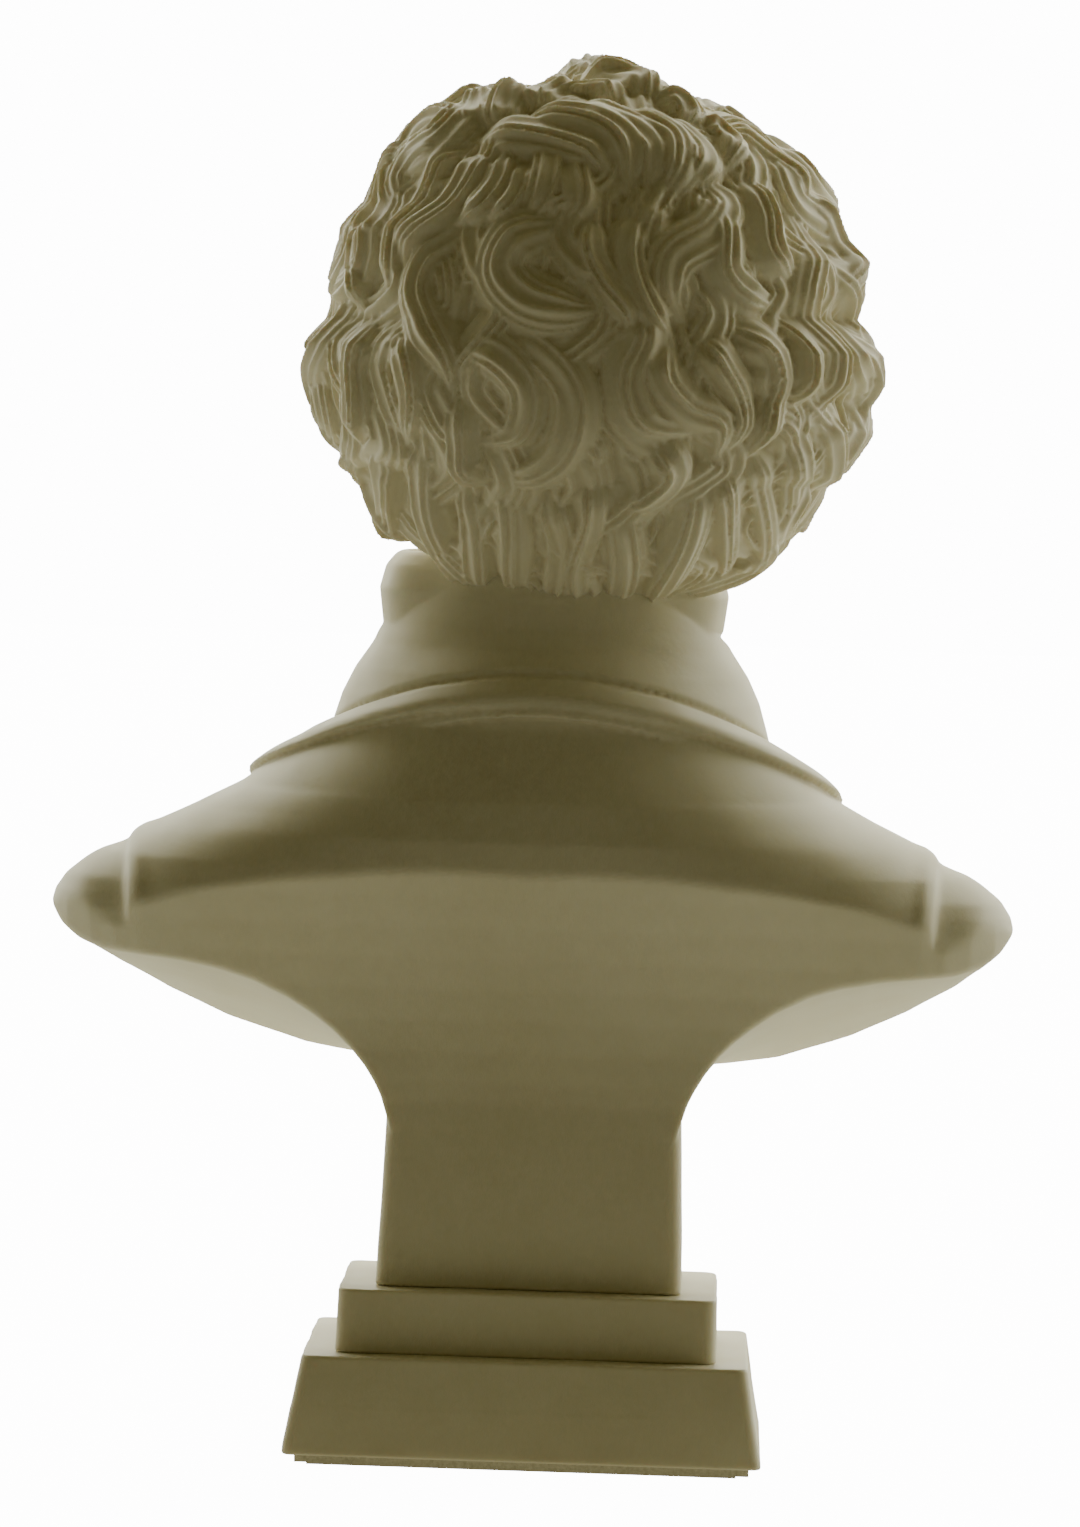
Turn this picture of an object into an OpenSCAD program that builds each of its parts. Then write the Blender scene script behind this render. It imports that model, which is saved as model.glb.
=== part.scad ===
// Head-and-shoulders portrait bust on a two-step plinth.
// The frame is millimetres, +Z up, the sitter facing -Y, with the origin at the middle of the
// resting face under the felt. The head, the torso with its shaft, and the two plinth stones
// are separate pieces, drawn together by one tie rod and kept square by pins.

/* [Plinth] */
// Width of the lower block at its foot
block_w = 74; // [70:1:80]
// Depth of the lower block at its foot
block_d = 56; // [54:1:62]
// How far each side of the lower block leans in
block_batter = 2.1; // [0:0.1:4]
// Height of the lower block
block_h = 15.2; // [14:0.1:18]
// Width of the upper step
step_w = 59.2; // [54:0.2:62]
// Depth of the upper step
step_d = 41; // [40:1:46]
// Height of the upper step
step_h = 9.6; // [8:0.1:12]
// Rounding of the plinth's level edges
edge_r = 0.8; // [0.5:0.1:1.5]
// Rounding of the plinth's upright corners
corner_r = 2.2; // [1.8:0.1:3]

/* [Bust] */
// Width of the shaft at its foot
shaft_w = 46.8; // [44:0.1:50]
// Depth of the shaft at its foot
shaft_d = 30; // [28:0.5:34]
// Width across the cut shoulders
shoulder_w = 150.4; // [140:0.1:156]
// Turn of the head towards the sitter's left
head_turn = 15; // [0:1:25]

/* [Fixings] */
// Thickness of the felt
felt_t = 1.5; // [1:0.1:2]
// Thickness of the bedding cement in each plinth joint
bed_t = 0.3; // [0.2:0.1:0.5]
// Diameter of the tie rod
rod_d = 6; // [5:0.5:8]
// Diameter of the locating pins
pin_d = 3; // [2:0.5:4]
// Diameter of the dowel that pins the head
dowel_d = 5; // [4:0.5:6]

/* [Hidden] */

$fn = 64;
slack = 0.05; // running clearance round metal in stone

// Levels, from the table up
block_z = felt_t;
step_z = block_z + block_h + bed_t;
shaft_z = step_z + step_h + bed_t;

// The tie rod's hardware, in a recess under the lower block
recess_r = 9;
recess_h = 9;
washer_r = 8;
washer_t = 1.2;
nut_across_flats = 10;
nut_h = 5;
washer_z = block_z + recess_h - washer_t;
nut_z = washer_z - nut_h;
rod_z = nut_z - 1.2;
rod_top = 80;
rod_hole_r = rod_d / 2 + 0.5;
anchor_r = 5;
anchor_h = 24;

// The pins' places across the joints
pin_h = 10;
shaft_pin_x = 14;
step_pin_x = 20;

// The neck's seat in the collar
seat_z = 116;
neck_x = -0.5;
tenon_r = 12;
tenon_h = 12;
dowel_h = 32;
dowel_z = seat_z - tenon_h - dowel_h / 2;
collar_top = 132;
neck_r = 19.4;
neck_gap = 0.3;

// The torso's outline, level by level: [height, value]
torso_levels = [
  shaft_z, 34, 42, 50, 55, 56.8, 58.4, 60, 62, 64, 66, 68, 70.5, 73, 75.5, 77.5, 79.5, 81.5, 84.7, 87,
  89, 91, 92.7, 94.5, 96.5, 98.5, 100.5, 103, 105, 107.5, 109.5, 112, 114, 116, 118, 120, 122, 123.5,
  126, 129, collar_top
];
half_width = [
  [shaft_z, shaft_w / 2], [56, shaft_w / 2 - 0.6], [58, 23.4], [60, 26], [62, 31.5], [64, 39],
  [68, 50], [73, 62], [77.5, 71], [81.5, shoulder_w / 2 - 0.2], [84.7, shoulder_w / 2],
  [88.5, shoulder_w / 2 - 2], [92.3, 68.3], [96.1, 61.2], [99.9, 53.2], [103.7, 46.1], [107.5, 41.6],
  [111.3, 37.1], [115.1, 34.1], [118.9, 32.3], [122.7, 30], [126.5, 27.3], [collar_top, 25.8]
];
front_reach = [
  [shaft_z, shaft_d / 2], [55, shaft_d / 2], [57.5, 23], [60, 29.5], [65, 34.5], [72, 38], [80, 40.5],
  [88, 40.5], [96, 38.5], [104, 35], [112, 31.5], [120, 28.4], [126, 26.4], [collar_top, 25.2]
];
back_reach = [
  [shaft_z, shaft_d / 2], [56, shaft_d / 2], [64, 16.8], [74, 21.4], [84, 28.6], [91, 35.2], [92.7, 36.4],
  [97, 36.8], [103, 35.4], [109, 32.8], [114, 30.6], [117, 30], [120, 30.2], [122, 28.9],
  [collar_top, 26]
];
squareness = [[shaft_z, 9], [55, 9], [60, 5], [68, 3], [78, 2.4], [110, 2.2], [collar_top, 2.1]];

// The head's outline level by level, about its own axis with the face at angle 0
head_levels = [seat_z, 120, 124, 128, collar_top + 0.2, for (z = [133 : 2 : 217]) z, 218.2, 219.2, 219.8];
hair_r = [
  [133, 20.6], [135, 23.6], [137, 26.6], [140, 29.8], [145, 33.8], [151, 37.2], [158, 41.6], [165, 43.8],
  [172, 44.4], [178, 43], [184, 41.4], [190, 39.6], [196, 37], [202.5, 33], [208, 27.8],
  [212, 21.8], [215.5, 14.6], [218, 8.8], [219.8, 3]
];
face_width = [
  [133, 14], [138, 19], [143, 22], [150, 24.4], [158, 25.8], [168, 27], [180, 27.6], [192, 27],
  [204, 22], [212, 16], [220, 2]
];
face_reach = [
  [133, 28], [135, 31.6], [138, 32.6], [142, 32.4], [148, 33.6], [156, 34.6], [166, 34.8],
  [174, 34.2], [180, 35.6], [188, 35.4], [196, 33.6], [204, 28.5], [212, 20], [220, 2]
];
hairline = [[133, 94], [140, 84], [152, 74], [170, 66], [184, 60], [194, 48], [201, 30], [206, 0]];
head_x = -5;
head_y = 2;
face_crowding = 28; // degrees by which the outline's points draw towards the face

function sign_power(v, p) = sign(v) * pow(abs(v), p);
function ramp(a, b, v) = let (t = min(1, max(0, (v - a) / (b - a)))) t * t * (3 - 2 * t);
function bump(x, z, sx, sz) = exp(-pow(x / sx, 2) - pow(z / sz, 2));

// One level of the torso, anticlockwise from +X: a rounded rectangle at the shaft, an oval above it
function torso_ring(z, n) = [
  for (i = [0 : n - 1])
    let (
      a = 360 * i / n,
      p = 2 / lookup(z, squareness),
      lean = neck_x * ramp(104, 120, z),
      reach = sin(a) < 0 ? lookup(z, front_reach) : lookup(z, back_reach)
    )
    [lean + lookup(z, half_width) * sign_power(cos(a), p), reach * sign_power(sin(a), p), z]
];

// Brow, eyes, nose, lips and chin as small swellings and hollows on the face, x from its middle line
function features(x, z) =
  let (side = abs(x))
  5.6 * bump(x, z - 157.5, 4.6, 4) + 3.2 * bump(x, z - 165, 3.2, 7)
  + 1.5 * bump(side - 9, z - 179, 7, 2.6) - 3 * bump(side - 10.6, z - 173, 4.6, 3.8)
  + 1.6 * bump(side - 11, z - 172.6, 3.6, 2.2) + 1.7 * bump(x, z - 147, 7, 1.7)
  + 1.6 * bump(x, z - 143, 5.6, 1.8) - 0.8 * bump(x, z - 145, 7, 0.8) + 1.4 * bump(x, z - 135.5, 6, 3.4);

// Waves of the carved locks, as a share of the hair's radius
function waves(a, z) = 0.02 * sin(10 * a + 50 * sin(9 * z)) + 0.016 * sin(26 * z + 2 * a);

// Radius of the head at an angle from the middle of the face, where face turns to hair at the hairline
function head_radius(a, z) =
  let (
    side = abs(a > 180 ? a - 360 : a),
    oval = 1 / sqrt(pow(sin(side) / lookup(z, face_width), 2) + pow(cos(side) / lookup(z, face_reach), 2)),
    face = oval + (side < 80 ? features(oval * sin(side), z) * cos(side) : 0),
    hair = lookup(z, hair_r) * (1 + waves(a, z)),
    edge = lookup(z, hairline),
    cover = ramp(edge - 9, edge + 9, side + 0.001)
  )
  face * (1 - cover) + hair * cover;

// One level of the head casting: the round neck inside the collar, the turned head above it
function head_ring(z, n) = [
  for (i = [0 : n - 1])
    let (
      t = 360 * i / n,
      a = t - face_crowding * sin(t),
      r = z > collar_top + 0.5 ? head_radius(a, z) : neck_r,
      centre = z > collar_top + 0.5 ? [head_x, head_y] : [neck_x, 0],
      heading = a + head_turn
    )
    [centre.x + r * sin(heading), centre.y - r * cos(heading), z]
];

// A closed solid through rings of n points each, from the lowest up
module loft(rings, n) {
  last = len(rings) - 1;
  polyhedron(
    points = [for (ring = rings) each ring],
    faces = [
      [for (i = [0 : n - 1]) i],
      for (k = [0 : last - 1], i = [0 : n - 1])
        let (a = k * n + i, b = k * n + (i + 1) % n)
        each [[a, a + n, b + n], [a, b + n, b]],
      [for (i = [n - 1 : -1 : 0]) last * n + i]
    ]
  );
}

module upright(r, z0, z1, x = 0, y = 0) {
  translate([x, y, z0]) cylinder(r = r, h = z1 - z0);
}

// A stone slab with rounded corners and edges, leaning in by batter on each side
module slab(w, d, h, batter) {
  hull()
    for (sx = [-1, 1], sy = [-1, 1], top = [0, 1])
      translate([
        sx * (w / 2 - corner_r - top * batter), sy * (d / 2 - corner_r - top * batter),
        top ? h - edge_r : edge_r
      ])
        rotate_extrude($fn = 32) translate([corner_r - edge_r, 0]) circle(edge_r, $fn = 20);
}

module pin_holes(x, joint_z) {
  for (side = [-1, 1])
    upright(pin_d / 2 + slack, joint_z - pin_h / 2 - 0.5, joint_z + pin_h / 2 + 0.5, x = side * x);
}

module pins(x, joint_z) {
  color("goldenrod")
    for (side = [-1, 1])
      upright(pin_d / 2, joint_z - pin_h / 2, joint_z + pin_h / 2, x = side * x);
}

module head() {
  points_round = 64;
  color("ivory")
    difference() {
      union() {
        loft([for (z = head_levels) head_ring(z, points_round)], points_round);
        upright(tenon_r, seat_z - tenon_h, seat_z + 1, x = neck_x);
      }
      upright(dowel_d / 2 + slack, seat_z - tenon_h - 1, dowel_z + dowel_h + 0.5, x = neck_x);
    }
}

module torso() {
  points_round = 64;
  color("ivory")
    difference() {
      loft([for (z = torso_levels) torso_ring(z, points_round)], points_round);
      upright(neck_r + neck_gap, seat_z - neck_gap, collar_top + 1, x = neck_x);
      upright(tenon_r + neck_gap, seat_z - tenon_h - 0.5, collar_top, x = neck_x);
      upright(dowel_d / 2 + slack, dowel_z - 0.5, collar_top, x = neck_x);
      upright(rod_hole_r, shaft_z - 1, rod_top + 2);
      upright(anchor_r + slack, rod_top - anchor_h, rod_top + 2);
      pin_holes(shaft_pin_x, shaft_z - bed_t / 2);
    }
}

module plinth_step() {
  color("ivory")
    difference() {
      translate([0, 0, step_z]) slab(step_w, step_d, step_h, 0.3);
      upright(rod_hole_r, step_z - 1, shaft_z + 1);
      pin_holes(shaft_pin_x, shaft_z - bed_t / 2);
      pin_holes(step_pin_x, step_z - bed_t / 2);
    }
}

module plinth_block() {
  color("ivory")
    difference() {
      translate([0, 0, block_z]) slab(block_w, block_d, block_h, block_batter);
      upright(rod_hole_r, block_z - 1, step_z + 1);
      upright(recess_r, block_z - 1, block_z + recess_h);
      pin_holes(step_pin_x, step_z - bed_t / 2);
    }
}

// A bed of cement in a joint, open round the rod and the pins
module bedding(w, d, z, pin_x) {
  color("gainsboro")
    difference() {
      translate([-w / 2, -d / 2, z]) cube([w, d, bed_t]);
      upright(rod_hole_r, z - 1, z + 1);
      pin_holes(pin_x, z + bed_t / 2);
    }
}

module shaft_bedding() {
  bedding(shaft_w - 3, shaft_d - 3, shaft_z - bed_t, shaft_pin_x);
}

module step_bedding() {
  bedding(step_w - 4, step_d - 4, step_z - bed_t, step_pin_x);
}

module tie_rod() {
  color("silver") {
    upright(rod_d / 2, rod_z, rod_top);
    upright(rod_d / 2 - 0.4, rod_z - 0.6, rod_z);
  }
}

module rod_anchor() {
  groove_r = 0.5;
  color("goldenrod")
    difference() {
      upright(anchor_r, rod_top - anchor_h, rod_top);
      upright(rod_d / 2 + slack, rod_top - anchor_h - 1, rod_top + 1);
      for (z = [rod_top - anchor_h + 4 : 4 : rod_top - 4])
        translate([0, 0, z])
          rotate_extrude() translate([anchor_r, 0]) square(2 * groove_r, center = true);
    }
}

module tie_washer() {
  color("silver")
    difference() {
      upright(washer_r, washer_z, washer_z + washer_t);
      upright(rod_d / 2 + 0.2, washer_z - 1, washer_z + washer_t + 1);
    }
}

module tie_nut() {
  color("silver")
    difference() {
      translate([0, 0, nut_z]) cylinder(d = nut_across_flats / cos(30), h = nut_h, $fn = 6);
      upright(rod_d / 2 + slack, nut_z - 1, nut_z + nut_h + 1);
    }
}

module neck_dowel() {
  color("silver") upright(dowel_d / 2, dowel_z, dowel_z + dowel_h, x = neck_x);
}

module shaft_pins() {
  pins(shaft_pin_x, shaft_z - bed_t / 2);
}

module step_pins() {
  pins(step_pin_x, step_z - bed_t / 2);
}

module felt_pad() {
  inset = 2;
  round_r = 2;
  color("darkolivegreen")
    linear_extrude(felt_t)
      for (size = [[block_w - 2 * inset, block_d - 2 * inset - 2 * round_r],
                   [block_w - 2 * inset - 2 * round_r, block_d - 2 * inset]])
        square(size, center = true);
}

head();
torso();
plinth_step();
plinth_block();
shaft_bedding();
step_bedding();
tie_rod();
rod_anchor();
tie_washer();
tie_nut();
neck_dowel();
shaft_pins();
step_pins();
felt_pad();
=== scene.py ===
"""Marble portrait bust: carved head, coat with shaft, and two plinth stones around the CAD frame."""

from math import cos, pi, radians, sin

import bpy
import numpy as np
from mathutils import Matrix, Vector


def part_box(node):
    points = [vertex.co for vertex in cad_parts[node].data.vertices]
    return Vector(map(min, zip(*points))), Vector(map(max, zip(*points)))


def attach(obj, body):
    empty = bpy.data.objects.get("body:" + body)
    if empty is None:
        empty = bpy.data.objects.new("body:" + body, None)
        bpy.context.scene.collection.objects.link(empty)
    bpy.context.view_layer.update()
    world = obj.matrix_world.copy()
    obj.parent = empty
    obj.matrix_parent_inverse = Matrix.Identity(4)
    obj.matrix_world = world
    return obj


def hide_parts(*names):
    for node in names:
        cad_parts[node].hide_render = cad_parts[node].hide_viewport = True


MM = 0.001

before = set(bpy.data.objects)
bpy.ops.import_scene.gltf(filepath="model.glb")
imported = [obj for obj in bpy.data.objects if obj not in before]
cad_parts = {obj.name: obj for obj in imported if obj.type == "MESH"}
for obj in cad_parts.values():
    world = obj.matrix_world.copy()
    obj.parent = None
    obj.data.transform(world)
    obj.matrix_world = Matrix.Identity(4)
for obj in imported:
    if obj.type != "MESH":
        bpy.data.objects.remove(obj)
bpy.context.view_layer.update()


def box_mm(node):
    """Lowest and highest corners of a CAD node, in millimetres."""
    low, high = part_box(node)
    return np.array(low) / MM, np.array(high) / MM


HEAD_LOW, HEAD_HIGH = box_mm("head")
SHAFT_FOOT = box_mm("torso")[0][2]
STEP_LOW, STEP_HIGH = box_mm("plinth_step")
BLOCK_LOW, BLOCK_HIGH = box_mm("plinth_block")
CROWN = HEAD_HIGH[2]

# ---------------------------------------------------------------- small tools


def unit(v):
    """Vectors of the same direction and length 1."""
    return v / np.linalg.norm(v, axis=-1, keepdims=True)


def ramp(a, b, v):
    """Smooth step from 0 at a to 1 at b."""
    t = np.clip((v - a) / (b - a), 0, 1)
    return t * t * (3 - 2 * t)


def bump(x, z, sx, sz):
    """A smooth hill of height 1 at the origin, down to about a third at sx across or sz up."""
    return np.exp(-(x / sx) ** 2 - (z / sz) ** 2)


def table(x, curve):
    """Value at x on a curve given as its places and its values."""
    return np.interp(x, curve[0], curve[1])


def smooth_max(a, b, k):
    """Larger of two fields, with the corner between them rounded over k."""
    h = np.clip(0.5 + 0.5 * (a - b) / k, 0, 1)
    return b * (1 - h) + a * h + k * h * (1 - h)


class Clay:
    """Closed shells collected as plain arrays, in millimetres, to be fused into one carving."""

    def __init__(self):
        self.points = []
        self.faces = []
        self.count = 0

    def add(self, points, faces):
        self.points.append(points.reshape(-1, 3))
        self.faces.extend([tuple(int(i) + self.count for i in face) for face in faces])
        self.count += self.points[-1].shape[0]

    def add_rings(self, rings):
        """A closed tube through rings of equal point counts, with both ends capped."""
        rows, cols = rings.shape[:2]
        index = np.arange(rows * cols).reshape(rows, cols)
        turned = np.roll(index, -1, axis=1)
        quads = np.stack([index[:-1], turned[:-1], turned[1:], index[1:]], axis=-1).reshape(-1, 4)
        caps = [tuple(index[0][::-1]), tuple(index[-1])]
        self.add(rings, [tuple(q) for q in quads] + caps)

    def mesh(self, name):
        mesh = bpy.data.meshes.new(name)
        mesh.from_pydata((np.concatenate(self.points) * MM).tolist(), [], self.faces)
        mesh.update()
        return mesh


def new_object(name, mesh):
    """Puts a mesh in the scene as an object."""
    obj = bpy.data.objects.new(name, mesh)
    bpy.context.scene.collection.objects.link(obj)
    return obj


def apply_modifiers(obj):
    """Makes the modifiers' result the object's own mesh."""
    graph = bpy.context.evaluated_depsgraph_get()
    mesh = bpy.data.meshes.new_from_object(obj.evaluated_get(graph))
    old = obj.data
    obj.modifiers.clear()
    obj.data = mesh
    bpy.data.meshes.remove(old)


def fuse(obj, voxel_mm, smoothing):
    """Turns overlapping shells into one skin, then softens it as casting and polishing do."""
    remesh = obj.modifiers.new("fuse", "REMESH")
    remesh.mode = "VOXEL"
    remesh.voxel_size = voxel_mm * MM
    remesh.use_smooth_shade = True
    smooth = obj.modifiers.new("polish", "SMOOTH")
    smooth.factor = 0.5
    smooth.iterations = smoothing
    apply_modifiers(obj)


# ---------------------------------------------------------------- the head

NECK_X = -0.5
HEAD = np.array([(HEAD_LOW[0] + HEAD_HIGH[0]) / 2, 4.0, CROWN - 43.8])
TURN = radians(15)
MASS = np.array([41.0, 40.5, 41.4])
SKULL = np.array([27.0, 34.5, 40.0])
SKULL_SHIFT = np.array([0.0, -2.0, -5.0])


def ellipsoid_radius(d, axes, shift=np.zeros(3)):
    """Distance along unit directions d from the origin to a shifted ellipsoid around it."""
    a = np.sum((d / axes) ** 2, axis=-1)
    b = np.sum(d * shift / axes ** 2, axis=-1)
    c = np.sum((shift / axes) ** 2) - 1
    return (b + np.sqrt(b * b - a * c)) / a


# Outline of the hair as a share of the ellipsoid, by level from the lowest point (-1) to the crown (1),
# at the back and along the sitter's left and right sides
HAIR_BACK = (
    [-1, -0.85, -0.38, -0.05, 0.1, 0.3, 0.7, 0.87, 0.95, 0.98, 1.0],
    [1.03, 1.05, 1.055, 1.0, 0.98, 0.965, 0.955, 0.937, 0.90, 0.94, 0.99],
)
HAIR_LEFT = (
    [-1, -0.85, -0.72, -0.60, -0.54, -0.49, -0.33, -0.17, -0.09, 0]
    + [0.25, 0.34, 0.45, 0.6, 0.76, 0.87, 0.95, 0.98, 1],
    [1.03, 1.05, 1.04, 1.0, 1.0, 1.035, 1.026, 1.02, 1.0, 0.93]
    + [0.925, 0.94, 0.90, 0.94, 0.955, 0.96, 0.885, 0.91, 0.99],
)
HAIR_RIGHT = (
    [-1, -0.85, -0.72, -0.54, -0.49, -0.33, -0.25, -0.17, -0.07, 0.05]
    + [0.13, 0.25, 0.34, 0.6, 0.82, 0.92, 0.95, 0.98, 1],
    [1.03, 1.045, 1.03, 1.0, 1.04, 1.06, 1.01, 1.04, 1.03, 0.90]
    + [0.95, 0.98, 0.94, 0.955, 0.90, 0.90, 0.885, 0.94, 0.99],
)


def mass_radius(d):
    """The bushy head of hair: an egg, fuller low down, drawn in at the temples and the crown."""
    level = d[..., 2]
    sideways = d[..., 0] / np.maximum(np.hypot(d[..., 0], d[..., 1]), 0.001)
    shape = table(level, HAIR_BACK)
    left = (table(level, HAIR_LEFT) - shape) * ramp(0.3, 0.95, sideways)
    right = (table(level, HAIR_RIGHT) - shape) * ramp(0.3, 0.95, -sideways)
    return ellipsoid_radius(d, MASS) * (shape + left + right)


def face_angle(d):
    """Degrees round from the middle of the face, signed."""
    turned = np.arctan2(d[..., 0], -d[..., 1]) - TURN
    return np.degrees((turned + pi) % (2 * pi) - pi)


# Where hair meets face: mm above the head's middle, and degrees from the middle of the face
HAIRLINE = ([-46, -40, -30, -18, -4, 8, 18, 25, 30], [102, 93, 84, 76, 68, 60, 53, 34, 0])


def hair_cover(d, level):
    """1 in the hair and 0 on the face, easing across the hairline."""
    edge = table(level, HAIRLINE)
    return ramp(-7, 7, np.abs(face_angle(d)) - edge)


def scalp_radius(d):
    """Surface that the locks lie on: the bushy mass, falling to the skull in front."""
    skull = ellipsoid_radius(d, SKULL, SKULL_SHIFT)
    mass = mass_radius(d)
    cover = hair_cover(d, d[..., 2] * mass)
    return skull * (1 - cover) + np.maximum(mass, skull) * cover


def back(u, v):
    """Unit direction of a point u mm towards the sitter's left and v mm up, seen from behind."""
    out = np.sqrt(max(43.5 ** 2 - u * u - v * v, 20.0))
    return unit(np.array([u, out, v], dtype=float))


def around(angle, v):
    """Unit direction at an angle round from the middle of the face and v mm up."""
    out = np.sqrt(max(42.0 ** 2 - v * v, 4.0))
    a = radians(angle) + TURN
    return unit(np.array([out * sin(a), -out * cos(a), v]))


def spline(points, count):
    """Catmull-Rom curve through the points, with count samples."""
    p = np.vstack([2 * points[0] - points[1], points, 2 * points[-1] - points[-2]])
    t = np.linspace(0, len(points) - 1, count)
    i = np.minimum(t.astype(int), len(points) - 2)
    f = (t - i)[:, None]
    a, b, c, d = p[i], p[i + 1], p[i + 2], p[i + 3]
    bend = (2 * a - 5 * b + 4 * c - d) * f ** 2
    twist = (3 * b - a - 3 * c + d) * f ** 3
    return 0.5 * (2 * b + (c - a) * f + bend + twist)


# How far a lock's edges sink, and how deep its underside lies below the scalp
EDGE_SINK = 1.9
LOCK_ROOT = 3.0


def lock(clay, directions, width, strands, rng, lift=0.0, dome=2.3, ridge=1.0, along=56):
    """One carved lock: a domed ribbon on the scalp, cut lengthwise into strands, sinking at its tip."""
    across = 10 * strands + 1
    line = unit(spline(np.array(directions), along))
    centre = line * scalp_radius(line)[:, None]
    tangent = unit(np.gradient(centre, axis=0))
    side = unit(np.cross(line, tangent))
    s = np.linspace(0, 1, along)[:, None]
    t = np.linspace(-1, 1, across)[None, :]
    half = width * 0.64 * np.minimum(1, s / 0.2 + 0.2) ** 0.5 * (1 - ramp(0.6, 1.12, s) ** 1.4)
    spot = centre[:, None, :] + side[:, None, :] * (half * t)[..., None]
    d = unit(spot)
    wander = 0.07 * np.sin(2.3 * pi * t + 2.6 * s + rng.uniform(0, 6)) + rng.uniform(-0.06, 0.06)
    comb = (0.5 + 0.5 * np.cos(pi * strands * (t + wander))) ** 1.2
    depth = ridge * (0.8 + 0.3 * np.sin(5 * t + rng.uniform(0, 6)))
    crown = np.clip(1 - np.abs(t) ** 2.2, 0, 1) ** 0.85
    rise = ramp(-0.05, 0.25, s) * (1 - 0.85 * ramp(0.72, 1.02, s))
    tilt = rng.uniform(-0.5, 0.5)
    roll = 0.45 * np.sin(2 * pi * (1.2 * s + rng.uniform(0, 1)))
    strand = depth * comb * (0.35 + 0.65 * crown)
    height = (lift + roll + dome * crown + strand + tilt * t) * rise - EDGE_SINK * (1 - crown)
    top = d * (scalp_radius(d) + height)[..., None]
    bottom = d[:, ::-1] * (scalp_radius(d[:, ::-1]) - LOCK_ROOT)[..., None]
    bottom = bottom[:, 1:-1:6]
    clay.add_rings(np.concatenate([top, bottom], axis=1) + HEAD)


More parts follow.
